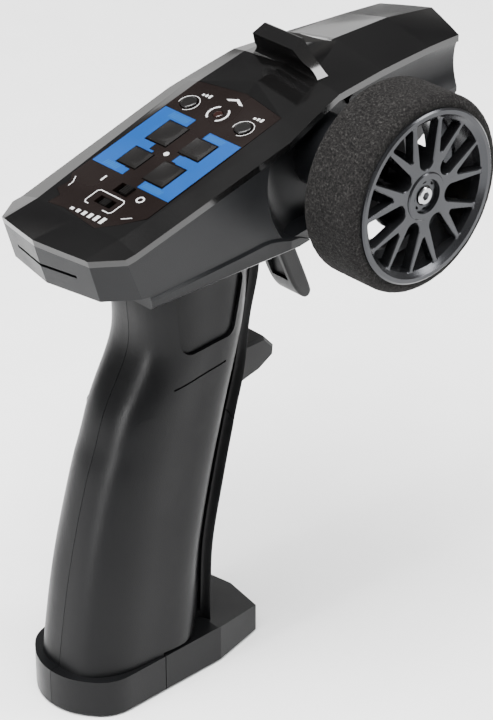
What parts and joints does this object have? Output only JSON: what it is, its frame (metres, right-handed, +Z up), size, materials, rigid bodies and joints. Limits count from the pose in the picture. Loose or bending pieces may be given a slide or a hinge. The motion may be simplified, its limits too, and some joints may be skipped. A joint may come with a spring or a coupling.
{
  "type": "radio transmitter controller",
  "caption": "Pistol-grip radio transmitter: wedge-shaped head with keypad, foam-tyred steering wheel at its side, throttle trigger, antenna fin, leaning grip and flat foot.",
  "frame": {"origin": "on the underside of the foot, on the seam plane of the two body halves", "axes": "+X towards the steering wheel, +Y forward towards the nose, +Z up"},
  "size_m": [0.0864, 0.1582, 0.1926],
  "materials": {
    "shell_plastic": "fine satin moulding, smoother on the head",
    "cover_gloss": "high gloss black",
    "panel_sheet": "satin printed sheet with two blue fields",
    "key_plastic": "satin",
    "soft_black": "matte",
    "wheel_grey": "gunmetal satin lacquer",
    "foam": "speckled open foam",
    "steel": "bright",
    "brass": "plain",
    "gear_plastic": "natural nylon",
    "switch_plastic": "matte",
    "board": "solder mask",
    "cell_sleeve": "plain printed sleeve",
    "lamp": "tinted clear"
  },
  "bodies": {
    "body": {"left_shell": "shell_plastic", "right_shell": "shell_plastic", "top_cover": "cover_gloss", "panel_plate": "panel_sheet", "antenna_housing": "cover_gloss", "antenna": "brass", "finger_rest": "soft_black", "steering_bush_outer": "brass", "steering_bush_inner": "brass", "bearing_plate": "soft_black", "steering_pot": "soft_black", "pot_screws": "steel", "steering_spring": "steel", "trigger_pot": "soft_black", "trigger_spring": "steel", "key_switches": "switch_plastic", "power_switch_body": "switch_plastic", "channel_4_switch_body": "switch_plastic", "status_led": "lamp", "main_board": "board", "board_screws": "steel", "shell_screws": "steel", "battery_holder": "soft_black", "battery_contacts": "brass", "battery_cell_1": "cell_sleeve", "battery_cell_2": "cell_sleeve", "battery_cell_3": "cell_sleeve", "battery_cell_4": "cell_sleeve"},
    "steering": {"steering_shaft": "gear_plastic", "steering_wheel": "wheel_grey", "foam_tyre": "foam", "wheel_bolt": "steel", "hub_ring": "wheel_grey", "drive_gear": "gear_plastic"},
    "pot_rotor": {"steering_pot_gear": "gear_plastic", "steering_pot_shaft": "steel"},
    "trigger": {"trigger": "soft_black", "trigger_pin": "steel"},
    "key_upper_left": {"key_upper_left": "key_plastic"},
    "key_upper_right": {"key_upper_right": "key_plastic"},
    "key_lower_left": {"key_lower_left": "key_plastic"},
    "key_lower_right": {"key_lower_right": "key_plastic"},
    "reverse_button": {"reverse_button": "key_plastic"},
    "channel_3_button": {"channel_3_button": "key_plastic"},
    "power_slider": {"power_slider": "key_plastic"},
    "channel_4_slider": {"channel_4_slider": "key_plastic"},
    "battery_door": {"battery_door": "shell_plastic"}
  },
  "joints": [
    {"name": "steering_turn", "type": "hinge", "parent": "body", "child": "steering", "pos_m": [0, 0.06, 0.161], "axis": [1, 0, 0], "range_deg": [-35, 35], "stiffness_Nm_per_rad": 0.15},
    {"name": "steering_pot_turn", "type": "hinge", "parent": "body", "child": "pot_rotor", "pos_m": [0, 0.0744, 0.161], "axis": [1, 0, 0], "range_deg": [-36, 36]},
    {"name": "trigger_pull", "type": "hinge", "parent": "body", "child": "trigger", "pos_m": [0, 0.054, 0.149], "axis": [1, 0, 0], "range_deg": [-25, 12], "stiffness_Nm_per_rad": 0.06},
    {"name": "key_upper_left_press", "type": "slide", "parent": "body", "child": "key_upper_left", "axis": [0, 0.2627, -0.9649], "range_m": [0, 0.0006], "stiffness_N_per_m": 400},
    {"name": "key_upper_right_press", "type": "slide", "parent": "body", "child": "key_upper_right", "axis": [0, 0.2627, -0.9649], "range_m": [0, 0.0006], "stiffness_N_per_m": 400},
    {"name": "key_lower_left_press", "type": "slide", "parent": "body", "child": "key_lower_left", "axis": [0, 0.2627, -0.9649], "range_m": [0, 0.0006], "stiffness_N_per_m": 400},
    {"name": "key_lower_right_press", "type": "slide", "parent": "body", "child": "key_lower_right", "axis": [0, 0.2627, -0.9649], "range_m": [0, 0.0006], "stiffness_N_per_m": 400},
    {"name": "reverse_button_press", "type": "slide", "parent": "body", "child": "reverse_button", "axis": [0, 0.2627, -0.9649], "range_m": [0, 0.0006], "stiffness_N_per_m": 400},
    {"name": "channel_3_button_press", "type": "slide", "parent": "body", "child": "channel_3_button", "axis": [0, 0.2627, -0.9649], "range_m": [0, 0.0006], "stiffness_N_per_m": 400},
    {"name": "power_slide", "type": "slide", "parent": "body", "child": "power_slider", "axis": [-1, 0, 0], "range_m": [0, 0.0026]},
    {"name": "channel_4_slide", "type": "slide", "parent": "body", "child": "channel_4_slider", "axis": [1, 0, 0], "range_m": [-0.0017, 0.0017]},
    {"name": "battery_door_slide", "type": "slide", "parent": "body", "child": "battery_door", "axis": [0, 1, 0], "range_m": [0, 0.03]}
  ],
  "couplings": [
    {"joint": "steering_pot_turn", "follows": "steering_turn", "ratio": -1}
  ]
}
